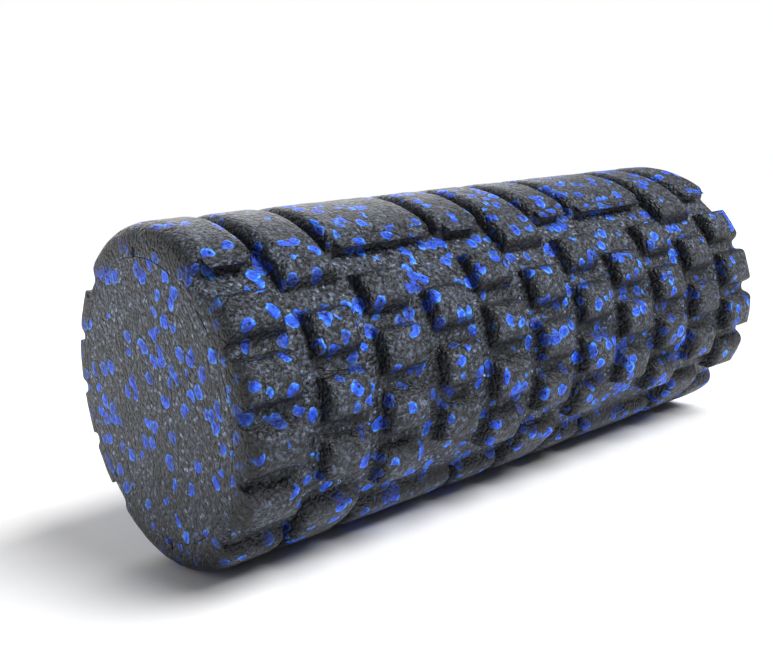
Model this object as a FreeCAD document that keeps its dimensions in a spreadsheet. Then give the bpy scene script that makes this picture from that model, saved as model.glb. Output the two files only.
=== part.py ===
"""Foam roller: a round foam core inside two half sleeves that carry the massage relief.

Units are millimetres. The roller's axis is +X, +Z is up, and the origin is the middle of the
axis. The half sleeves are one moulding used twice, the second turned half a turn about the axis,
and they meet on the plane Y = 0, at the top and bottom of the roller.

The relief stands in columns along X:
- a broad pad straddles each seam, narrow in most columns and wide in a few, with a ring groove
  from each pad to the next, except where a narrow pad is two columns long;
- knobs fill the sides: even columns have rows half a step above and below the middle, and odd
  columns have rows on whole steps, so that the knobs stagger. The gaps between the knobs of
  neighbouring columns are wider than the grooves.
"""
import FreeCAD, Part
import math
import os

import Sketcher

from FreeCAD import Placement, Rotation, Vector

# (alias, value, what it is)
SIZES = [
    ("length", 330, "overall length"),
    ("crest_radius", 70, "axis to the top of pads and knobs: half of the overall diameter"),
    ("relief_height", 7, "height of pads and knobs over the floor between them"),
    ("sleeve_wall", 6, "sleeve under that floor, down to the core"),
    ("column_count", 11, "relief columns along the roller"),
    ("groove_width", 3, "ring groove between two pads, at the floor"),
    ("groove_draft", 10, "draft of the groove's walls, in degrees"),
    ("groove_round", 2.5, "rounding of the groove's shoulders"),
    ("gap_width", 7.5, "gap between the knobs of two columns, at the floor"),
    ("gap_draft", 10, "draft of the gap's walls, in degrees"),
    ("gap_round", 3, "rounding of the gap's shoulders"),
    ("row_step", 21.5, "angle from one knob to the next in a column, in degrees"),
    ("even_rows", 4, "knobs round one half sleeve in an even column"),
    ("odd_rows", 3, "knobs round one half sleeve in an odd column"),
    ("knob_angle", 23, "width of a knob at its root, in degrees"),
    ("knob_draft", 28, "draft of a knob's long sides, in degrees"),
    ("knob_round", 5, "rounding where they meet its crest"),
    ("narrow_angle", 80, "width of a narrow pad at its root, in degrees"),
    ("wide_angle", 107, "width of a wide pad at its root, in degrees"),
    ("pad_draft", 18, "draft of a pad's long sides, in degrees"),
    ("pad_round", 4, "rounding where they meet its crest"),
    ("crest_end_round", 8, "rounding of pads and knobs at the roller's ends"),
    ("floor_end_round", 5, "rounding of the floor at the roller's ends"),
    ("root_cover", 0.5, "sleeve between the root of the relief and the core"),
]
# (alias, formula): sizes worked out from the driving ones.
DERIVED = [
    ("floor_radius", "crest_radius - relief_height"),
    ("core_radius", "floor_radius - sleeve_wall"),
    ("root_radius", "core_radius + root_cover"),
    ("column_pitch", "length / column_count"),
    ("even_columns", "floor(column_count / 2) + mod(column_count; 2)"),
    ("odd_columns", "floor(column_count / 2)"),
]

FIRST_WIDE_COLUMN = 1
WIDE_COLUMN_STEP = 4
WIDE_COLUMNS = 3
BRIDGED_COLUMNS = (3, 8)  # a long pad runs on past the end of so many columns from the -X end
PAST = 5  # how far a cutter runs past the surface that it cuts
BAD_STATES = {"Invalid", "Error"}

doc = FreeCAD.newDocument("foam_roller")


def make_sheet():
    sheet = doc.addObject("Spreadsheet::Sheet", "spec")
    for row, (alias, value, meaning) in enumerate(SIZES, start=1):
        sheet.set(f"A{row}", meaning)
        sheet.set(f"B{row}", str(value))
        sheet.setAlias(f"B{row}", alias)
    for row, (alias, formula) in enumerate(DERIVED, start=len(SIZES) + 1):
        sheet.set(f"A{row}", alias.replace("_", " "))
        sheet.set(f"B{row}", "=" + formula)
        sheet.setAlias(f"B{row}", alias)
        doc.recompute()
    return sheet


spec = make_sheet()


def origin_feature(body, role):
    """The body's own origin plane or axis with this role, such as YZ_Plane or X_Axis."""
    return next(f for f in body.Origin.OriginFeatures if f.Role == role)


def new_sketch(body, name, plane):
    sketch = body.newObject("Sketcher::SketchObject", name)
    sketch.AttachmentSupport = [(origin_feature(body, plane), "")]
    sketch.MapMode = "FlatFace"
    return sketch


def constrain(sketch, *definition):
    return sketch.addConstraint(Sketcher.Constraint(*definition))


def tie(sketch, name, formula, *definition):
    """Adds a dimension to the sketch and ties it to the sheet."""
    sketch.renameConstraint(constrain(sketch, *definition), name)
    sketch.setExpression(f"Constraints.{name}", formula)


def add_circle(sketch, name, formula, radius):
    """A circle round the roller's axis."""
    circle = sketch.addGeometry(Part.Circle(Vector(0, 0, 0), Vector(0, 0, 1), radius))
    constrain(sketch, "Coincident", circle, 3, -1, 1)
    tie(sketch, name, formula, "Radius", circle, radius)


def extrude(body, name, sketch, formula):
    pad = body.newObject("PartDesign::Pad", name)
    pad.Profile = sketch
    pad.setExpression("Length", formula)
    return pad


def make_core():
    """A plain round bar, whose ends show inside the sleeve."""
    body = doc.addObject("PartDesign::Body", "core")
    section = new_sketch(body, "core_section", "YZ_Plane")
    add_circle(section, "radius", "spec.core_radius", spec.core_radius)
    extrude(body, "core_bar", section, "spec.length").Midplane = True
    return body


def add_tube(body):
    """The sleeve's wall below the relief, all the way round."""
    section = new_sketch(body, "wall_section", "YZ_Plane")
    add_circle(section, "floor", "spec.floor_radius", spec.floor_radius)
    add_circle(section, "bore", "spec.core_radius", spec.core_radius)
    extrude(body, "wall", section, "spec.length").Midplane = True


def flank_points(half_angle, draft, rounding):
    """One side of a relief section: its foot, the wall's end, and the rounding's centre and end."""
    lean = half_angle - math.radians(draft)
    foot = spec.root_radius * Vector(math.sin(half_angle), math.cos(half_angle), 0)
    along = Vector(math.sin(lean), math.cos(lean), 0)
    inward = Vector(-math.cos(lean), math.sin(lean), 0)
    start = foot + rounding * inward
    reach = start.dot(along)
    out = (spec.crest_radius - rounding) ** 2
    rise = math.sqrt(reach**2 - start.Length**2 + out) - reach
    centre = start + rise * along
    return foot, foot + rise * along, centre, centre * (spec.crest_radius / centre.Length)


def mirrored(point):
    return Vector(-point.x, point.y, 0)


def arc_between(centre, start, end):
    """The arc counterclockwise from start to end."""
    first = math.atan2(start.y - centre.y, start.x - centre.x)
    last = math.atan2(end.y - centre.y, end.x - centre.x)
    circle = Part.Circle(centre, Vector(0, 0, 1), centre.distanceToPoint(start))
    return Part.ArcOfCircle(circle, first, last)


def relief_section(body, name, width, kind):
    """Section of a pad or knob across the top of the roller, with drafted, rounded sides.

    width is the alias of its width in degrees, and kind is knob or pad.
    """
    sketch = new_sketch(body, name + "_section", "YZ_Plane")
    half_angle = math.radians(getattr(spec, width)) / 2
    draft, rounding = getattr(spec, kind + "_draft"), getattr(spec, kind + "_round")
    foot, wall_end, centre, crest_end = flank_points(half_angle, draft, rounding)
    origin = Vector(0, 0, 0)
    right = sketch.addGeometry(Part.LineSegment(foot, wall_end))
    right_round = sketch.addGeometry(arc_between(centre, wall_end, crest_end))
    crest = sketch.addGeometry(arc_between(origin, crest_end, mirrored(crest_end)))
    left_round = sketch.addGeometry(
        arc_between(mirrored(centre), mirrored(crest_end), mirrored(wall_end))
    )
    left = sketch.addGeometry(Part.LineSegment(mirrored(wall_end), mirrored(foot)))
    root = sketch.addGeometry(arc_between(origin, foot, mirrored(foot)))
    chain = (right, right_round, crest, left_round, left)
    for first, second in zip(chain, chain[1:]):
        constrain(sketch, "Tangent", first, 2, second, 1)
    constrain(sketch, "Coincident", root, 1, right, 1)
    constrain(sketch, "Coincident", root, 2, left, 2)
    constrain(sketch, "Coincident", crest, 3, -1, 1)
    constrain(sketch, "Coincident", root, 3, -1, 1)
    constrain(sketch, "Equal", right_round, left_round)
    tie(sketch, "crest", "spec.crest_radius", "Radius", crest, spec.crest_radius)
    tie(sketch, "root", "spec.root_radius", "Radius", root, spec.root_radius)
    tie(sketch, "round", f"spec.{kind}_round", "Radius", right_round, rounding)
    half_width = f"spec.root_radius * sin(spec.{width} / 2 * 1deg)"
    tie(sketch, "right_foot", half_width, "DistanceX", -1, 1, right, 1, foot.x)
    tie(sketch, "left_foot", half_width, "DistanceX", left, 2, -1, 1, foot.x)
    lean = f"(spec.{width} / 2 - spec.{kind}_draft) * 1deg"
    slope = math.pi / 2 - half_angle + math.radians(draft)
    tie(sketch, "right_lean", f"90deg - {lean}", "Angle", right, slope)
    tie(sketch, "left_lean", f"-90deg + {lean}", "Angle", left, -slope)
    return sketch


def groove_section(body, kind, number):
    """Section of a ring groove after so many columns, with drafted walls and rounded shoulders.

    kind is groove or gap. The section is at y < 0.
    """
    sketch = new_sketch(body, f"{kind}_{number}_section", "XY_Plane")
    middle = -spec.length / 2 + spec.column_pitch * number
    half = getattr(spec, kind + "_width") / 2
    floor, crest, bend = spec.floor_radius, spec.crest_radius, getattr(spec, kind + "_round")
    draft = math.radians(getattr(spec, kind + "_draft"))
    climb = (crest - bend - floor + bend * math.sin(draft)) / math.cos(draft)
    along = Vector(math.sin(draft), -math.cos(draft), 0)
    foot = Vector(half, -floor, 0)
    wall_end = foot + climb * along
    centre = wall_end + bend * Vector(math.cos(draft), math.sin(draft), 0)
    shoulder = Vector(centre.x, -crest, 0)
    top = Vector(centre.x, -crest - PAST, 0)
    shift = Vector(middle, 0, 0)
    points = {"foot": foot, "wall_end": wall_end, "centre": centre, "shoulder": shoulder, "top": top}
    right = {name: point + shift for name, point in points.items()}
    left = {name: mirrored(point) + shift for name, point in points.items()}

    def line(start, end):
        return sketch.addGeometry(Part.LineSegment(start, end))

    bottom = line(left["foot"], right["foot"])
    right_wall = line(right["foot"], right["wall_end"])
    right_bend = sketch.addGeometry(arc_between(right["centre"], right["wall_end"], right["shoulder"]))
    right_riser = line(right["shoulder"], right["top"])
    lid = line(right["top"], left["top"])
    left_riser = line(left["top"], left["shoulder"])
    left_bend = sketch.addGeometry(arc_between(left["centre"], left["shoulder"], left["wall_end"]))
    left_wall = line(left["wall_end"], left["foot"])
    constrain(sketch, "Coincident", bottom, 2, right_wall, 1)
    constrain(sketch, "Tangent", right_wall, 2, right_bend, 1)
    constrain(sketch, "Coincident", right_bend, 2, right_riser, 1)
    constrain(sketch, "Coincident", right_riser, 2, lid, 1)
    constrain(sketch, "Coincident", lid, 2, left_riser, 1)
    constrain(sketch, "Coincident", left_riser, 2, left_bend, 1)
    constrain(sketch, "Tangent", left_bend, 2, left_wall, 1)
    constrain(sketch, "Coincident", left_wall, 2, bottom, 1)
    for upright in (right_riser, left_riser):
        constrain(sketch, "Vertical", upright)
    constrain(sketch, "Vertical", right_bend, 3, right_bend, 2)
    constrain(sketch, "Vertical", left_bend, 3, left_bend, 1)
    constrain(sketch, "Horizontal", bottom)
    constrain(sketch, "Horizontal", lid)
    constrain(sketch, "Equal", right_bend, left_bend)
    tie(sketch, "bend", f"spec.{kind}_round", "Radius", right_bend, bend)
    tie(sketch, "floor", "spec.floor_radius", "DistanceY", bottom, 1, -1, 1, floor)
    tie(sketch, "lid", f"spec.crest_radius + {PAST}", "DistanceY", lid, 1, -1, 1, crest + PAST)
    bend_depth = f"spec.crest_radius - spec.{kind}_round"
    tie(sketch, "right_bend_depth", bend_depth, "DistanceY", right_bend, 3, -1, 1, crest - bend)
    tie(sketch, "left_bend_depth", bend_depth, "DistanceY", left_bend, 3, -1, 1, crest - bend)
    left_edge = f"spec.column_pitch * {number} - spec.length / 2 - spec.{kind}_width / 2"
    tie(sketch, "left_edge", left_edge, "DistanceX", -1, 1, bottom, 1, middle - half)
    tie(sketch, "width", f"spec.{kind}_width", "DistanceX", bottom, 1, bottom, 2, 2 * half)
    upright, lean = math.pi / 2, f"spec.{kind}_draft * 1deg"
    tie(sketch, "right_lean", f"-90deg + {lean}", "Angle", right_wall, draft - upright)
    tie(sketch, "left_lean", f"90deg - {lean}", "Angle", left_wall, upright - draft)
    return sketch


def add_pattern(body, name, feature, turns, steps=None):
    """Repeats the feature round the axis and along it.

    turns and steps are pairs of formulas: how many, and the whole angle or length they span.
    """
    pattern = body.newObject("PartDesign::MultiTransform", name)
    pattern.Originals = [feature]
    polar = body.newObject("PartDesign::PolarPattern", name + "_turns")
    polar.Axis = (origin_feature(body, "X_Axis"), [""])
    polar.setExpression("Occurrences", turns[0])
    polar.setExpression("Angle", turns[1])
    steps_made = [polar]
    if steps:
        linear = body.newObject("PartDesign::LinearPattern", name + "_steps")
        linear.Direction = (origin_feature(body, "X_Axis"), [""])
        linear.setExpression("Occurrences", steps[0])
        linear.setExpression("Length", steps[1])
        steps_made.append(linear)
    pattern.Transformations = steps_made
    body.Tip = pattern
    return pattern


def place_section(sketch, column, turn):
    """Moves a relief section to the start of a column and turns it towards -Y by a formula."""
    sketch.AttachmentOffset = Placement(Vector(0, 0, 0), Rotation(Vector(0, 0, 1), 1))
    sketch.setExpression("AttachmentOffset.Base.z", f"spec.column_pitch * {column} - spec.length / 2")
    sketch.setExpression("AttachmentOffset.Rotation.Angle", turn)


def add_pads(body):
    """Pads across the top and bottom seams; seam_cut leaves this half sleeve its half of each."""
    both_seams = ("2", "360")
    narrow_section = relief_section(body, "narrow_pad", "narrow_angle", "pad")
    narrow = extrude(body, "narrow_pad", narrow_section, "spec.length")
    narrow.Midplane = True
    add_pattern(body, "narrow_pads", narrow, both_seams)
    wide_section = relief_section(body, "wide_pad", "wide_angle", "pad")
    place_section(wide_section, FIRST_WIDE_COLUMN, "0")
    wide = extrude(body, "wide_pad", wide_section, "spec.column_pitch")
    span = f"spec.column_pitch * {WIDE_COLUMN_STEP * (WIDE_COLUMNS - 1)}"
    add_pattern(body, "wide_pads", wide, both_seams, (str(WIDE_COLUMNS), span))


def add_knobs(body, parity, first_column):
    """Knobs in every second column, with their rows centred on the side of the half sleeve."""
    section = relief_section(body, f"{parity}_knob", "knob_angle", "knob")
    spread = f"spec.row_step * (spec.{parity}_rows - 1)"
    place_section(section, first_column, f"90 - {spread} / 2")
    knob = extrude(body, f"{parity}_knob", section, "spec.column_pitch")
    columns = f"spec.{parity}_columns"
    steps = (columns, f"2 * spec.column_pitch * ({columns} - 1)")
    add_pattern(body, f"{parity}_knobs", knob, (f"spec.{parity}_rows", spread), steps)


def revolve_cut(body, name, sketch):
    cut = body.newObject("PartDesign::Groove", name)
    cut.Profile = sketch
    cut.ReferenceAxis = (origin_feature(body, "X_Axis"), [""])
    cut.Angle = 360
    return cut


def add_grooves(body, kind, bridged=()):
    """Ring grooves, or gaps, after every column but the bridged ones and the last."""
    for number in range(1, round(spec.column_count)):
        if number not in bridged:
            revolve_cut(body, f"{kind}_{number}", groove_section(body, kind, number))


def add_outline(sketch, corners):
    """A closed outline of straight lines; each corner is a pair of formulas, x and y."""
    points = [Vector(*(sketch.evalExpression(formula) for formula in corner), 0) for corner in corners]
    lines = [
        sketch.addGeometry(Part.LineSegment(start, end))
        for start, end in zip(points, points[1:] + points[:1])
    ]
    for line, following in zip(lines, lines[1:] + lines[:1]):
        constrain(sketch, "Coincident", line, 2, following, 1)
    for index, (line, point, corner) in enumerate(zip(lines, points, corners)):
        tie(sketch, f"x_{index}", corner[0], "DistanceX", -1, 1, line, 1, point.x)
        tie(sketch, f"y_{index}", corner[1], "DistanceY", -1, 1, line, 1, point.y)


def round_ends(body, surface):
    """Rounds off both ends of everything out to a surface, which is crest or floor."""
    sketch = new_sketch(body, surface + "_end_section", "XY_Plane")
    radius, bend = getattr(spec, surface + "_radius"), getattr(spec, surface + "_end_round")
    centre = Vector(bend - spec.length / 2, bend - radius, 0)
    shoulder, foot = centre - Vector(0, bend, 0), centre - Vector(bend, 0, 0)
    out, past = Vector(0, -PAST, 0), Vector(-PAST, 0, 0)
    corners = (shoulder, shoulder + out, Vector(foot.x, shoulder.y, 0) + past + out, foot + past, foot)
    rounding = sketch.addGeometry(arc_between(centre, foot, shoulder))
    lines = [
        sketch.addGeometry(Part.LineSegment(start, end)) for start, end in zip(corners, corners[1:])
    ]
    chain = [rounding, *lines, rounding]
    for first, second in zip(chain, chain[1:]):
        constrain(sketch, "Coincident", first, 2, second, 1)
    for level in (lines[1], lines[3]):
        constrain(sketch, "Horizontal", level)
    for upright in (lines[0], lines[2]):
        constrain(sketch, "Vertical", upright)
    constrain(sketch, "Vertical", rounding, 3, rounding, 2)
    constrain(sketch, "Horizontal", rounding, 3, rounding, 1)
    end, crest = "-spec.length / 2", f"-spec.{surface}_radius"
    turn = f"spec.{surface}_end_round"
    tie(sketch, "round", turn, "Radius", rounding, bend)
    tie(sketch, "round_x", f"{end} + {turn}", "DistanceX", -1, 1, rounding, 3, centre.x)
    tie(sketch, "round_y", f"{crest} + {turn}", "DistanceY", -1, 1, rounding, 3, centre.y)
    tie(sketch, "past_x", f"{end} - {PAST}", "DistanceX", -1, 1, lines[2], 1, corners[2].x)
    tie(sketch, "past_y", f"{crest} - {PAST}", "DistanceY", -1, 1, lines[1], 1, corners[1].y)
    end_cut = revolve_cut(body, surface + "_end_rounding", sketch)
    mirror = body.newObject("PartDesign::Mirrored", surface + "_end_roundings")
    mirror.Originals = [end_cut]
    mirror.MirrorPlane = (origin_feature(body, "YZ_Plane"), [""])
    body.Tip = mirror


def cut_seam(body):
    """Takes away everything past the plane where the half sleeves meet."""
    sketch = new_sketch(body, "seam_cut_section", "XY_Plane")
    end, side = f"(spec.length / 2 + {PAST})", f"(spec.crest_radius + {PAST})"
    add_outline(sketch, [(f"-{end}", "0"), (end, "0"), (end, side), (f"-{end}", side)])
    cut = body.newObject("PartDesign::Pocket", "seam_cut")
    cut.Profile = sketch
    cut.Midplane = True
    cut.setExpression("Length", f"2 * {side}")


def keep_faces_apart(body):
    """Leaves the floor in strips, which mesh better than one face with a hole for every knob."""
    for feature in body.Group:
        if "Refine" in feature.PropertiesList:
            feature.Refine = False


def make_half_sleeve():
    """The half sleeve on the -Y side."""
    body = doc.addObject("PartDesign::Body", "front_half_sleeve")
    add_tube(body)
    round_ends(body, "floor")
    add_knobs(body, "even", 0)
    add_knobs(body, "odd", 1)
    add_grooves(body, "gap")
    add_pads(body)
    add_grooves(body, "groove", BRIDGED_COLUMNS)
    round_ends(body, "crest")
    cut_seam(body)
    keep_faces_apart(body)
    return body


def turned_copy(source, label):
    """A second piece of the same moulding, turned half a turn about the roller's axis."""
    body = doc.addObject("PartDesign::Body", label)
    base = body.newObject("PartDesign::FeatureBase", label + "_moulding")
    base.BaseFeature = source
    body.Tip = base
    body.Placement = Placement(Vector(0, 0, 0), Rotation(Vector(1, 0, 0), 180))
    return body


def check_document(sub_parts):
    for item in doc.Objects:
        if BAD_STATES & set(item.State):
            raise RuntimeError(f"{item.Label} didn't recompute")
    for node in sub_parts:
        if node.Shape.isNull() or not node.Shape.isValid():
            raise RuntimeError(f"{node.Label} has no valid shape")
        if len(node.Shape.Solids) != 1:
            raise RuntimeError(f"{node.Label} has {len(node.Shape.Solids)} solids")


def main():
    front = make_half_sleeve()
    sub_parts = [make_core(), front, turned_copy(front, "rear_half_sleeve")]
    doc.recompute()
    check_document(sub_parts)
    os.makedirs("parts", exist_ok=True)
    for node in sub_parts:
        node.Shape.exportStep(f"parts/{node.Label}.step")


main()
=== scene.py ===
"""A foam roller in moulded bead foam: a round core inside two half sleeves with massage relief.

Lengths are in metres. The roller's axis is +X and +Z is up. Angles round the axis count from the
top seam towards the side of the half sleeve, so 0 and 180 degrees are its two seams.
"""

import math

import bmesh
import bpy
from bpy.props import FloatProperty, FloatVectorProperty, IntProperty, PointerProperty
from bpy.types import Operator, Panel, PropertyGroup
from mathutils import Matrix, Vector


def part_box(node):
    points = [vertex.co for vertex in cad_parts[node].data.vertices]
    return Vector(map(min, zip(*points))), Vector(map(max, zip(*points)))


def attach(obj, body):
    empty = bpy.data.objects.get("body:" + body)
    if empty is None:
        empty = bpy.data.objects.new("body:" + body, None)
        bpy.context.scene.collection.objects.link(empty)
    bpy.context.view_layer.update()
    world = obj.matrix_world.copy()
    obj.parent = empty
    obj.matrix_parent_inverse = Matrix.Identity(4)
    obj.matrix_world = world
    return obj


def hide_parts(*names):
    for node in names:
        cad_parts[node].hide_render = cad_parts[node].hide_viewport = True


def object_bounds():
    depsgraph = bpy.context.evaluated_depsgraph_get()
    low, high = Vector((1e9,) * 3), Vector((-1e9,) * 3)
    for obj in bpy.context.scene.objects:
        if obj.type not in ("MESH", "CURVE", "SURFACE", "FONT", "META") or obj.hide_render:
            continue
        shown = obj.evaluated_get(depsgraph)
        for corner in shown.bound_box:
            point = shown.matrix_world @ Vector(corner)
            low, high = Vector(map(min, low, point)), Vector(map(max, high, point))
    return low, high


bl_info = {
    "name": "Foam Roller",
    "version": (1, 0, 0),
    "blender": (4, 5, 0),
    "location": "View3D > Sidebar > Foam Roller",
    "description": "Models a moulded bead-foam roller with knobs and pads on its two half sleeves",
    "category": "Add Mesh",
}

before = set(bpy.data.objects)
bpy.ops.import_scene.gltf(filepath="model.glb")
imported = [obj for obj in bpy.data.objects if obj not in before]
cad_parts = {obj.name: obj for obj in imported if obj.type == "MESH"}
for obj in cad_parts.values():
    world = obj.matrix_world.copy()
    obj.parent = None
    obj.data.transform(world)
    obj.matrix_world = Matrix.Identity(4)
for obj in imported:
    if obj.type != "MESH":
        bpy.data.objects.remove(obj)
CAD_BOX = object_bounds()

MM = 0.001
FLOOR_REACH = 30
X_AXIS = Vector((1, 0, 0))
HALF_LENGTH = CAD_BOX[1][0]
CREST_RADIUS = CAD_BOX[1][2]
CORE_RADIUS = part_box("core")[1].y

# Columns of relief, counted from the -X end.
WIDE_COLUMNS = (1, 5, 9)
NARROW_PADS = ((0, 0), (2, 3), (4, 4), (6, 6), (7, 8), (10, 10))  # first and last column of each
EVEN_ROWS = (57.75, 79.25, 100.75, 122.25)  # knob rows, in degrees from the top seam
ODD_ROWS = (68.5, 90, 111.5)

# Each step of a relief wall from the floor to the crest: (height, how far in on the long sides,
# how far in on the ends) as shares of the relief's height and of the wall's run, and how much
# painted shade the foam gets there: a darker colour that stands in for the shade on the wall.
WALL_STEPS = (
    (0.10, 0.09, 0.04, 1.0),
    (0.46, 0.26, 0.15, 0.95),
    (0.75, 0.46, 0.34, 0.7),
    (0.90, 0.70, 0.63, 0.25),
    (0.97, 1.00, 1.00, 0.0),
)
FOOT_PAINTED_SHADE = 0.55  # painted shade on the floor along the foot of a wall, standing in for the shade there
PAINTED_SHADE_ATTRIBUTE = "painted_wall_shade"  # the vertex attribute that holds the painted shade: how much darker walls and their foot are drawn
CREST_STEP = 1.0  # rise of the crest inside its rounded outline
OUTLINE_SHARE = 0.01  # how near a vertex is to the outline that it belongs to, as a share of the relief
# Points round the floor's rounded ends: (in from the end, down from the floor) as shares of the radius.
END_STEPS = ((1.0, 0.0), (0.5, 0.10), (0.18, 0.32), (0.03, 0.62), (0.0, 1.0))


class RollerShape(PropertyGroup):
    columns: IntProperty(name="Columns", description="Relief columns along the roller", default=11)
    relief: FloatProperty(
        name="Relief",
        description="Height of pads and knobs over the floor",
        default=7 * MM,
        unit="LENGTH",
    )
    groove: FloatProperty(
        name="Groove",
        description="Ring groove between two pads, at the floor",
        default=3 * MM,
        unit="LENGTH",
    )
    gap: FloatProperty(
        name="Knob gap",
        description="Gap between the knobs of two columns, at the floor",
        default=7.5 * MM,
        unit="LENGTH",
    )
    knob_angle: FloatProperty(
        name="Knob width",
        description="Width of a knob at the floor, as an angle round the axis",
        default=math.radians(17.5),
        subtype="ANGLE",
    )
    narrow_angle: FloatProperty(
        name="Narrow pad",
        description="Reach of a narrow pad from the seam",
        default=math.radians(38.3),
        subtype="ANGLE",
    )
    wide_angle: FloatProperty(
        name="Wide pad",
        description="Reach of a wide pad from the seam",
        default=math.radians(51.8),
        subtype="ANGLE",
    )
    knob_run: FloatProperty(
        name="Knob side run",
        description="How far a knob's long side leans in from the floor to its crest",
        default=6.6 * MM,
        unit="LENGTH",
    )
    pad_run: FloatProperty(
        name="Pad side run",
        description="How far a pad's long side leans in from the floor to its crest",
        default=6.0 * MM,
        unit="LENGTH",
    )
    groove_run: FloatProperty(
        name="Groove side run",
        description="How far the walls of a groove or gap lean back from the floor to the crest",
        default=4.2 * MM,
        unit="LENGTH",
    )
    end_run: FloatProperty(
        name="End rounding",
        description="How far pads and knobs round off at the roller's ends",
        default=8 * MM,
        unit="LENGTH",
    )
    floor_round: FloatProperty(
        name="Floor rounding",
        description="Rounding of the floor at the roller's ends",
        default=5 * MM,
        unit="LENGTH",
    )
    support: FloatProperty(
        name="Corner size",
        description="Size of the rounded corners of pads and knobs seen from above",
        default=4 * MM,
        unit="LENGTH",
    )
    seam: FloatProperty(
        name="Seam",
        description="Rounding on both sides of a seam",
        default=0.4 * MM,
        unit="LENGTH",
    )


class FoamFinish(PropertyGroup):
    charcoal: FloatVectorProperty(
        name="Charcoal",
        description="Colour of the black beads",
        default=(0.027, 0.034, 0.050),
        subtype="COLOR",
    )
    blue: FloatVectorProperty(
        name="Blue",
        description="Colour of the blue beads",
        default=(0.008, 0.075, 0.74),
        subtype="COLOR",
    )
    rim: FloatVectorProperty(
        name="Bead rim",
        description="Paler colour round the edge of a blue bead",
        default=(0.06, 0.32, 1.0),
        subtype="COLOR",
    )
    bead: FloatProperty(
        name="Bead size",
        description="Typical distance from one bead to the next",
        default=5.4 * MM,
        unit="LENGTH",
    )
    blue_share: FloatProperty(
        name="Blue share",
        description="Share of beads that are blue",
        default=0.25,
        subtype="FACTOR",
    )


class StudioStage(PropertyGroup):
    floor: FloatVectorProperty(
        name="Floor", description="Colour of the floor", default=(0.95, 0.95, 0.95), subtype="COLOR"
    )
    lens: FloatProperty(name="Lens", description="Focal length in millimetres", default=46.3)
    camera: FloatVectorProperty(
        name="Camera",
        description="Where the camera stands",
        default=(-338.3 * MM, -351.2 * MM, 77.4 * MM),
        subtype="TRANSLATION",
        unit="LENGTH",
    )
    heading: FloatProperty(
        name="Heading",
        description="Turn of the camera from +Y towards -X",
        default=math.radians(-40.08),
        subtype="ANGLE",
    )
    pitch: FloatProperty(
        name="Pitch",
        description="Downward tilt of the camera",
        default=math.radians(8.53),
        subtype="ANGLE",
    )
    roll: FloatProperty(
        name="Roll",
        description="Turn of the camera about its view",
        default=math.radians(-5.48),
        subtype="ANGLE",
    )
    room: FloatProperty(
        name="Room light",
        description="How much of its seen brightness the white room lights the roller with",
        default=0.12,
        subtype="FACTOR",
    )


def link(name, mesh):
    data = bpy.data.meshes.new(name)
    mesh.to_mesh(data)
    mesh.free()
    piece = bpy.data.objects.new(name, data)
    bpy.context.scene.collection.objects.link(piece)
    piece.data.shade_smooth()
    return piece


def ring_of(mesh, points):
    """A closed chain of vertices and edges through the points."""
    vertices = [mesh.verts.new(point) for point in points]
    edges = [mesh.edges.new(pair) for pair in zip(vertices, vertices[1:] + vertices[:1])]
    return vertices + edges


def sweep(mesh, ring, stops):
    """Spins the ring round the X axis through each of the angles in turn, in radians."""
    for start, stop in zip(stops, stops[1:]):
        spun = bmesh.ops.spin(
            mesh, geom=ring, axis=X_AXIS, cent=(0, 0, 0), angle=stop - start, steps=1
        )
        ring = spun["geom_last"]
    return ring


def angle_of(point):
    """Angle of a point on the -Y side round the axis, from the top seam."""
    return math.atan2(-point.y, point.z)


def at_angle(x, radius, angle):
    return Vector((x, -radius * math.sin(angle), radius * math.cos(angle)))


def column_span(shape, first, last, gap):
    """Start and end along X of relief that fills these columns, less half a gap at each end."""
    pitch = 2 * HALF_LENGTH / shape.columns
    start = pitch * first - HALF_LENGTH + (gap / 2 if first else 0)
    end = pitch * (last + 1) - HALF_LENGTH - (gap / 2 if last < shape.columns - 1 else 0)
    return start, end


def reliefs_of(shape):
    """Every pad and knob as (first x, last x, first angle, last angle, run of its long sides)."""
    reliefs = []
    for first, last, reach in (
        [(*span, shape.narrow_angle) for span in NARROW_PADS]
        + [(column, column, shape.wide_angle) for column in WIDE_COLUMNS]
    ):
        x_span = column_span(shape, first, last, shape.groove)
        reliefs.append((*x_span, 0, reach, shape.pad_run))
        reliefs.append((*x_span, math.pi - reach, math.pi, shape.pad_run))
    for column in range(shape.columns):
        x_span = column_span(shape, column, column, shape.gap)
        for row in ODD_ROWS if column % 2 else EVEN_ROWS:
            middle, half = math.radians(row), shape.knob_angle / 2
            reliefs.append((*x_span, middle - half, middle + half, shape.knob_run))
    return reliefs


def spread(values, widest):
    """Sorted values with more put in wherever two neighbours are further apart than widest."""
    values = sorted(values)
    lines = [values[0]]
    for value in values[1:]:
        gap = value - lines[-1]
        if gap < 1e-6:
            continue
        count = math.ceil(gap / widest - 1e-6)
        start = lines[-1]
        lines += [start + gap * step / count for step in range(1, count + 1)]
    return lines


def grid_lines(shape, reliefs):
    """Lines along X and round the axis that every pad and knob has its edges and supports on."""
    along, around = set(), set()
    corner = shape.support / CREST_RADIUS
    for x0, x1, a0, a1, _ in reliefs:
        along |= {x0, x1, x0 + shape.support, x1 - shape.support}
        around |= {round(a0, 6), round(a1, 6)}
        if a0 > 0:
            around.add(round(a0 + corner, 6))
        if a1 < math.pi:
            around.add(round(a1 - corner, 6))
    inset = shape.seam / CREST_RADIUS
    around |= {inset, math.pi - inset}
    inner_end = HALF_LENGTH - shape.floor_round
    along = {x for x in along if abs(x) < inner_end - shape.seam} | {-inner_end, inner_end}
    return spread(along, 8 * MM), spread(around, math.radians(6))


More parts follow.
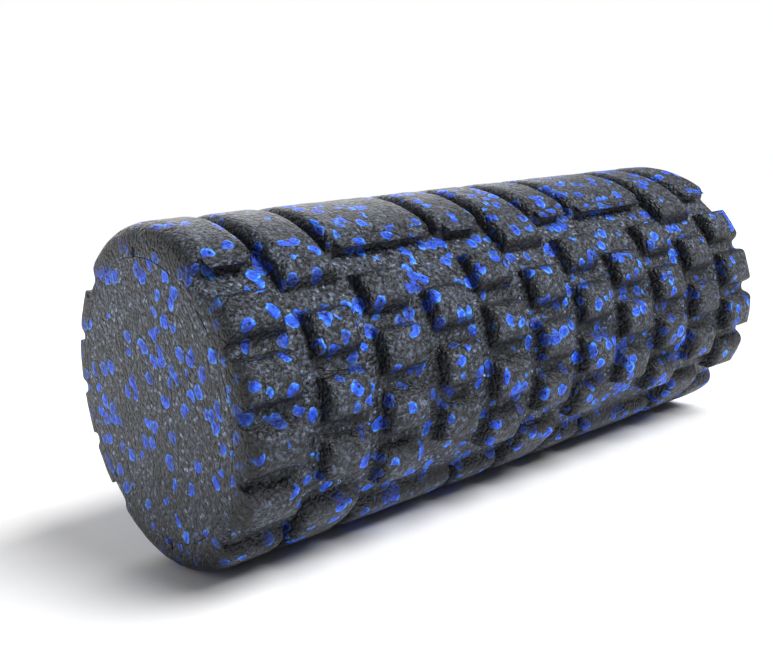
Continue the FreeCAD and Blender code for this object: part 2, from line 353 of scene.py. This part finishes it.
def raise_relief(mesh, shape, relief):
    """Extrudes the floor faces inside one pad or knob up to the crest, in rounded steps."""
    x0, x1, a0, a1, side_run = relief
    floor_radius = CREST_RADIUS - shape.relief

    def inside(face):
        middle = face.calc_center_median()
        outside = math.hypot(middle.y, middle.z) > CORE_RADIUS + 2 * shape.seam
        return outside and x0 < middle.x < x1 and a0 < angle_of(middle) < a1

    faces = [face for face in mesh.faces if inside(face)]
    runs = (
        shape.end_run if x0 < shape.seam - HALF_LENGTH else shape.groove_run,
        shape.end_run if x1 > HALF_LENGTH - shape.seam else shape.groove_run,
        (side_run if a0 > 0 else shape.seam) / CREST_RADIUS,
        (side_run if a1 < math.pi else shape.seam) / CREST_RADIUS,
    )
    outline = (x0, x1, a0, a1)
    # Painted shade: the floor under the relief and each wall step are given a darker value, standing in
    # for the shade at the walls.
    painted_wall_shade = mesh.verts.layers.float[PAINTED_SHADE_ATTRIBUTE]
    for vertex in {vertex for face in faces for vertex in face.verts}:
        vertex[painted_wall_shade] = FOOT_PAINTED_SHADE
    for rise, side, end, shade in WALL_STEPS:
        inner = (x0 + runs[0] * end, x1 - runs[1] * end, a0 + runs[2] * side, a1 - runs[3] * side)
        raised = bmesh.ops.extrude_face_region(mesh, geom=faces)["geom"]
        bmesh.ops.delete(mesh, geom=faces, context="FACES")
        faces = [item for item in raised if isinstance(item, bmesh.types.BMFace)]
        for vertex in (item for item in raised if isinstance(item, bmesh.types.BMVert)):
            along = (vertex.co.x - outline[0]) / (outline[1] - outline[0])
            around = (angle_of(vertex.co) - outline[2]) / (outline[3] - outline[2])
            vertex[painted_wall_shade] = shade
            on_outline = min(along, 1 - along, around, 1 - around) < OUTLINE_SHARE
            vertex.co = at_angle(
                inner[0] + along * (inner[1] - inner[0]),
                floor_radius + (rise if on_outline else CREST_STEP) * shape.relief,
                inner[2] + around * (inner[3] - inner[2]),
            )
        outline = inner


def wall_profile(shape, along):
    """Section of the sleeve's wall at the top seam: the floor, an end, the bore, the other end."""
    floor_radius = CREST_RADIUS - shape.relief
    end, inset, hold = HALF_LENGTH, shape.seam, 4 * shape.support
    rounding = [
        (end - shape.floor_round * back, floor_radius - shape.floor_round * down)
        for back, down in END_STEPS[1:]
    ]
    ring = [(end, CORE_RADIUS + inset), (end, CORE_RADIUS)]
    bore = [(end - inset, CORE_RADIUS), (end - hold, CORE_RADIUS)]
    right = rounding + ring + bore
    points = [(x, floor_radius) for x in along] + right + [(-x, z) for x, z in right[::-1]]
    return [Vector((x, 0, z)) for x, z in points]


def half_sleeve(name, shape, turned):
    """One half sleeve; turned is true for the second one, on the +Y side."""
    mesh = bmesh.new()
    mesh.verts.layers.float.new(PAINTED_SHADE_ATTRIBUTE)
    reliefs = reliefs_of(shape)
    along, around = grid_lines(shape, reliefs)
    first = ring_of(mesh, wall_profile(shape, along))
    last = sweep(mesh, first, around)
    for ring in (first, last):
        edges = [item for item in ring if isinstance(item, bmesh.types.BMEdge)]
        bmesh.ops.contextual_create(mesh, geom=edges)
    for relief in reliefs:
        raise_relief(mesh, shape, relief)
    bmesh.ops.recalc_face_normals(mesh, faces=mesh.faces)
    if turned:
        bmesh.ops.rotate(mesh, verts=mesh.verts, matrix=Matrix.Rotation(math.pi, 3, "X"))
    return link(name, mesh)


def core_bar(name, shape):
    """The round core, with its edges softened where they show inside the sleeve."""
    mesh = bmesh.new()
    end, radius, inset = HALF_LENGTH, CORE_RADIUS, shape.seam
    rings = [radius * share for share in (0.0, 0.08, 0.25, 0.45, 0.65, 0.85)]
    face = [(end, z) for z in rings] + [(end, radius - inset), (end, radius), (end - inset, radius)]
    half = face + [(end - 4 * shape.support, radius)]
    points = half + [(-x, z) for x, z in half[::-1]]
    vertices = [mesh.verts.new((x, 0, z)) for x, z in points]
    edges = [mesh.edges.new(pair) for pair in zip(vertices, vertices[1:])]
    bmesh.ops.spin(
        mesh,
        geom=vertices + edges,
        axis=X_AXIS,
        cent=(0, 0, 0),
        angle=2 * math.pi,
        steps=48,
        use_merge=True,
    )
    bmesh.ops.remove_doubles(mesh, verts=mesh.verts, dist=inset / 10)
    bmesh.ops.recalc_face_normals(mesh, faces=mesh.faces)
    return link(name, mesh)


def soften(piece, levels, swell, grain):
    """Smooths a piece's cage, then gives it the slight waviness of moulded beads."""
    smooth = piece.modifiers.new("Smooth", "SUBSURF")
    smooth.levels = smooth.render_levels = levels
    wave = bpy.data.textures.new(piece.name + "_wave", "CLOUDS")
    wave.noise_scale = grain
    wave.noise_depth = 1
    displace = piece.modifiers.new("Waviness", "DISPLACE")
    displace.texture = wave
    displace.texture_coords = "LOCAL"
    displace.strength = swell
    displace.mid_level = 0.5


class NodeSheet:
    """Adds nodes to a material, each with its inputs linked or set."""

    def __init__(self, material):
        material.use_nodes = True
        self.tree = material.node_tree
        self.tree.nodes.clear()

    def add(self, kind, inputs=None, **settings):
        node = self.tree.nodes.new(kind)
        for key, value in settings.items():
            setattr(node, key, value)
        for key, value in (inputs or {}).items():
            socket = node.inputs[key]
            if isinstance(value, bpy.types.NodeSocket):
                self.tree.links.new(value, socket)
            else:
                socket.default_value = value
        return node

    def math(self, operation, *values):
        return self.add("ShaderNodeMath", dict(enumerate(values)), operation=operation).outputs[0]

    def fade(self, value, low, high, from_=0.0, to=1.0):
        """from_ where value is at most low, to where it is at least high, smooth between."""
        inputs = {"Value": value, "From Min": low, "From Max": high, "To Min": from_, "To Max": to}
        return self.add("ShaderNodeMapRange", inputs, interpolation_type="SMOOTHSTEP").outputs[0]

    def mix(self, share, first, second, blend="MIX"):
        node = self.add("ShaderNodeMix", data_type="RGBA", blend_type=blend)
        for socket, value in zip((node.inputs[0], node.inputs[6], node.inputs[7]), (share, first, second)):
            if isinstance(value, bpy.types.NodeSocket):
                self.tree.links.new(value, socket)
            else:
                socket.default_value = value
        return node.outputs[2]


def rgba(colour):
    return (*colour, 1.0)


def foam(name, finish, seed):
    """Moulded bead foam: charcoal beads pressed together, some of them blue, with pinholes, and painted
    shade in the pinholes and on the walls.
    """
    material = bpy.data.materials.new(name)
    sheet = NodeSheet(material)
    place_on_piece = sheet.add("ShaderNodeTexCoord").outputs["Object"]
    shifted_by = (seed * 0.37, seed * 0.11, seed * 0.23)
    shift = sheet.add("ShaderNodeVectorMath", {0: place_on_piece, 1: shifted_by})
    place = shift.outputs[0]

    def noise(scale, detail=2.0, roughness=0.5):
        inputs = {"Vector": place, "Scale": scale, "Detail": detail, "Roughness": roughness}
        return sheet.add("ShaderNodeTexNoise", inputs)

    # Bead borders wander a little, so the cells are read at a place that noise has pushed about.
    push = noise(0.9 / finish.bead, 1.0).outputs["Color"]
    push = sheet.add("ShaderNodeVectorMath", {0: push, 1: (0.5, 0.5, 0.5)}, operation="SUBTRACT")
    push = sheet.add(
        "ShaderNodeVectorMath", {0: push.outputs[0], "Scale": 0.55 * finish.bead}, operation="SCALE"
    )
    warped = sheet.add("ShaderNodeVectorMath", {0: place, 1: push.outputs[0]}).outputs[0]

    def cells(scale, feature, randomness=1.0, vector=warped):
        inputs = {"Vector": vector, "Scale": scale, "Randomness": randomness}
        return sheet.add("ShaderNodeTexVoronoi", inputs, feature=feature)

    bead = cells(1 / finish.bead, "F1")
    border = cells(1 / finish.bead, "DISTANCE_TO_EDGE").outputs["Distance"]
    dice = sheet.add("ShaderNodeSeparateColor", {"Color": bead.outputs["Color"]}).outputs
    clumps = noise(28.0, 1.0).outputs[0]
    share = sheet.math("MULTIPLY", sheet.fade(clumps, 0.3, 0.7, 0.75, 1.25), finish.blue_share)
    is_blue = sheet.math("LESS_THAN", dice[0], share)
    mottle = noise(430.0, 2.0).outputs[0]
    reach = sheet.math("MULTIPLY_ADD", mottle, 0.30, bead.outputs["Distance"])
    chip = sheet.math("MULTIPLY", sheet.fade(reach, 0.71, 0.74, 1.0, 0.0), sheet.fade(border, 0.006, 0.02))
    blue_here = sheet.math("MULTIPLY", is_blue, chip)

    # How deep a point lies between knobs and pads, or on an end: the foam is crumblier there.
    parts = sheet.add("ShaderNodeSeparateXYZ", {0: place_on_piece}).outputs
    across = sheet.math("MULTIPLY", parts[1], parts[1])
    radius = sheet.math("SQRT", sheet.math("MULTIPLY_ADD", parts[2], parts[2], across))
    valley = sheet.fade(radius, CREST_RADIUS - 5.5 * MM, CREST_RADIUS - 1.5 * MM, 1.0, 0.0)

    # Charcoal: each bead its own shade, darker at its border, with a sharp grit of finer crumbs.
    crumbs = noise(560.0, 3.0, 0.6).outputs[0]
    grit = cells(760.0, "F1", vector=place)
    grit_dice = sheet.add("ShaderNodeSeparateColor", {"Color": grit.outputs["Color"]}).outputs
    bead_shade = sheet.fade(dice[1], 0.0, 1.0, 0.75, 1.25)
    shade = sheet.math("MULTIPLY", bead_shade, sheet.fade(border, 0.0, 0.05, 0.45, 1.0))
    shade = sheet.math("MULTIPLY", shade, sheet.fade(crumbs, 0.36, 0.66, 0.2, 2.1))
    shade = sheet.math("MULTIPLY", shade, sheet.fade(grit_dice[0], 0.0, 1.0, 0.15, 1.95))
    deep = sheet.fade(valley, 0.0, 1.0, 0.15, 1.0)
    speck = sheet.math("MULTIPLY", sheet.fade(grit_dice[1], 0.80, 0.90, 0.0, 2.2), deep)
    shade = sheet.math("MULTIPLY", shade, sheet.math("ADD", speck, 1.0))
    charcoal = sheet.mix(1.0, rgba(finish.charcoal), shade, "MULTIPLY")

    # Blue: paler towards the border, mottled inside.
    paler = sheet.math("MULTIPLY", sheet.fade(reach, 0.50, 0.70), sheet.fade(crumbs, 0.38, 0.60, 0.2, 1.0))
    blue = sheet.mix(paler, rgba(finish.blue), rgba(finish.rim))
    own_shade = sheet.fade(dice[2], 0.0, 1.0, 0.8, 1.25)
    blue_shade = sheet.math("MULTIPLY", own_shade, sheet.fade(mottle, 0.36, 0.6, 0.55, 1.3))
    blue = sheet.mix(1.0, blue, blue_shade, "MULTIPLY")

    # Pinholes where beads didn't quite meet: a real dent in the bump, painted near black for the shade
    # inside the hole.
    pin = cells(185.0, "F1", vector=place).outputs["Distance"]
    pinhole = sheet.fade(pin, 0.09, 0.14, 1.0, 0.0)
    colour = sheet.mix(blue_here, charcoal, blue)
    colour = sheet.mix(pinhole, colour, (0.003, 0.003, 0.003, 1.0))

    # Painted shade: walls and the foot of each wall are drawn darker than crests, standing in for the
    # shade that falls there.
    painted_wall_shade = sheet.add("ShaderNodeAttribute", attribute_name=PAINTED_SHADE_ATTRIBUTE).outputs["Fac"]
    colour = sheet.mix(1.0, colour, sheet.fade(painted_wall_shade, 0.0, 1.0, 1.0, 0.22), "MULTIPLY")

    dome = sheet.fade(border, 0.0, 0.16)
    height = sheet.math("MULTIPLY_ADD", dome, 0.35, sheet.math("MULTIPLY", grit.outputs["Distance"], -0.5))
    height = sheet.math("MULTIPLY_ADD", crumbs, 0.9, height)
    height = sheet.math("MULTIPLY_ADD", pinhole, -1.4, height)
    bump = sheet.add("ShaderNodeBump", {"Height": height, "Strength": 1.0, "Distance": 0.0011})

    roughness = sheet.math("MULTIPLY_ADD", crumbs, 0.25, 0.36)
    inputs = {"Base Color": colour, "Roughness": roughness, "Normal": bump.outputs[0], "IOR": 1.48}
    surface = sheet.add("ShaderNodeBsdfPrincipled", inputs)
    sheet.add("ShaderNodeOutputMaterial", {"Surface": surface.outputs[0]})
    return material


def show(piece, node, finish_name, seed):
    piece.data.materials.append(foam(finish_name, bpy.context.scene.foam_finish, seed))
    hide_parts(node)
    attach(piece, "root")


class ROLLER_OT_core(Operator):
    """Add the round core of the roller"""

    bl_idname = "roller.core"
    bl_label = "Add Core"

    def execute(self, context):
        shape = context.scene.roller_shape
        piece = core_bar("foam_core", shape)
        soften(piece, 2, 0.3 * MM, 12 * MM)
        show(piece, "core", "core_foam", 1)
        return {"FINISHED"}


class ROLLER_OT_half_sleeves(Operator):
    """Add the two half sleeves, with their knobs and pads"""

    bl_idname = "roller.half_sleeves"
    bl_label = "Add Half Sleeves"

    def execute(self, context):
        shape = context.scene.roller_shape
        for seed, (side, turned) in enumerate((("front", False), ("rear", True)), start=2):
            piece = half_sleeve(f"{side}_textured_sleeve", shape, turned)
            soften(piece, 1, 0.5 * MM, 10 * MM)
            show(piece, f"{side}_half_sleeve", f"{side}_sleeve_foam", seed)
        return {"FINISHED"}


def plain_material(name, colour, roughness):
    material = bpy.data.materials.new(name)
    sheet = NodeSheet(material)
    place = sheet.add("ShaderNodeTexCoord").outputs["Object"]
    grain = sheet.add("ShaderNodeTexNoise", {"Vector": place, "Scale": 60.0, "Detail": 4.0}).outputs[0]
    tint = sheet.mix(1.0, rgba(colour), sheet.fade(grain, 0.3, 0.7, 0.985, 1.0), "MULTIPLY")
    surface = sheet.add("ShaderNodeBsdfPrincipled", {"Base Color": tint, "Roughness": roughness})
    sheet.add("ShaderNodeOutputMaterial", {"Surface": surface.outputs[0]})
    return material


def add_floor(stage):
    """A wide pale floor under the roller."""
    mesh = bmesh.new()
    bmesh.ops.create_circle(mesh, cap_ends=True, segments=64, radius=FLOOR_REACH)
    bmesh.ops.translate(mesh, verts=mesh.verts, vec=(0, 0, CAD_BOX[0][2]))
    floor = link("floor", mesh)
    floor.data.materials.append(plain_material("floor_paper", stage.floor, 0.9))


def add_light(kind, name, place, power, **settings):
    """A light of a kind at a place, aimed at the middle of the roller and not seen itself."""
    data = bpy.data.lights.new(name, kind)
    data.energy = power
    for key, value in settings.items():
        setattr(data, key, value)
    light = bpy.data.objects.new(name, data)
    light.location = place
    light.visible_camera = False
    light.rotation_euler = (-Vector(place)).to_track_quat("-Z", "Y").to_euler()
    bpy.context.scene.collection.objects.link(light)


def add_room(brightness):
    """White surroundings that light the roller more softly than they look."""
    world = bpy.data.worlds.new("studio")
    world.use_nodes = True
    background = world.node_tree.nodes["Background"]
    background.inputs["Color"].default_value = (1, 1, 1, 1)
    seen = world.node_tree.nodes.new("ShaderNodeLightPath").outputs["Is Camera Ray"]
    strength = world.node_tree.nodes.new("ShaderNodeMapRange")
    strength.inputs["To Min"].default_value = brightness
    world.node_tree.links.new(seen, strength.inputs["Value"])
    world.node_tree.links.new(strength.outputs[0], background.inputs["Strength"])
    bpy.context.scene.world = world


def add_camera(stage):
    data = bpy.data.cameras.new("camera")
    data.sensor_width = 36
    data.lens = stage.lens
    data.clip_start = 0.01
    camera = bpy.data.objects.new("camera", data)
    turn = (
        Matrix.Rotation(stage.heading, 4, "Z")
        @ Matrix.Rotation(math.pi / 2 - stage.pitch, 4, "X")
        @ Matrix.Rotation(stage.roll, 4, "Z")
    )
    camera.matrix_world = Matrix.Translation(stage.camera) @ turn
    bpy.context.scene.collection.objects.link(camera)
    bpy.context.scene.camera = camera


class ROLLER_OT_stage(Operator):
    """Add the floor, the white room, the soft lights and the camera"""

    bl_idname = "roller.stage"
    bl_label = "Add Stage"

    def execute(self, context):
        stage = context.scene.studio_stage
        add_floor(stage)
        add_camera(stage)
        add_light("SUN", "key", (0.40, -0.62, 0.90), 4.1, angle=math.radians(35))
        add_light("AREA", "end_softbox", (-1.3, 1.3, 0.45), 9, shape="RECTANGLE", size=1.6, size_y=1.2)
        add_light("AREA", "back_softbox", (0.7, 1.5, 0.75), 22, shape="RECTANGLE", size=2.0, size_y=0.9)
        add_room(stage.room)
        context.scene.view_settings.view_transform = "Standard"
        return {"FINISHED"}


class ROLLER_PT_panel(Panel):
    """Build steps and sizes of the foam roller"""

    bl_label = "Foam Roller"
    bl_idname = "ROLLER_PT_panel"
    bl_space_type = "VIEW_3D"
    bl_region_type = "UI"
    bl_category = "Foam Roller"

    def draw(self, context):
        column = self.layout.column()
        for operator in OPERATORS:
            column.operator(operator.bl_idname)
        for group in (context.scene.roller_shape, context.scene.foam_finish, context.scene.studio_stage):
            box = self.layout.box()
            for key in type(group).__annotations__:
                box.prop(group, key)


OPERATORS = (ROLLER_OT_core, ROLLER_OT_half_sleeves, ROLLER_OT_stage)
GROUPS = {"roller_shape": RollerShape, "foam_finish": FoamFinish, "studio_stage": StudioStage}


def register():
    for cls in (*GROUPS.values(), *OPERATORS, ROLLER_PT_panel):
        bpy.utils.register_class(cls)
    for name, group in GROUPS.items():
        setattr(bpy.types.Scene, name, PointerProperty(type=group))


def unregister():
    for name in GROUPS:
        delattr(bpy.types.Scene, name)
    for cls in (ROLLER_PT_panel, *OPERATORS, *GROUPS.values()):
        bpy.utils.unregister_class(cls)


def main():
    register()
    bpy.ops.roller.core()
    bpy.ops.roller.half_sleeves()
    bpy.ops.roller.stage()


if __name__ == "__main__":
    main()
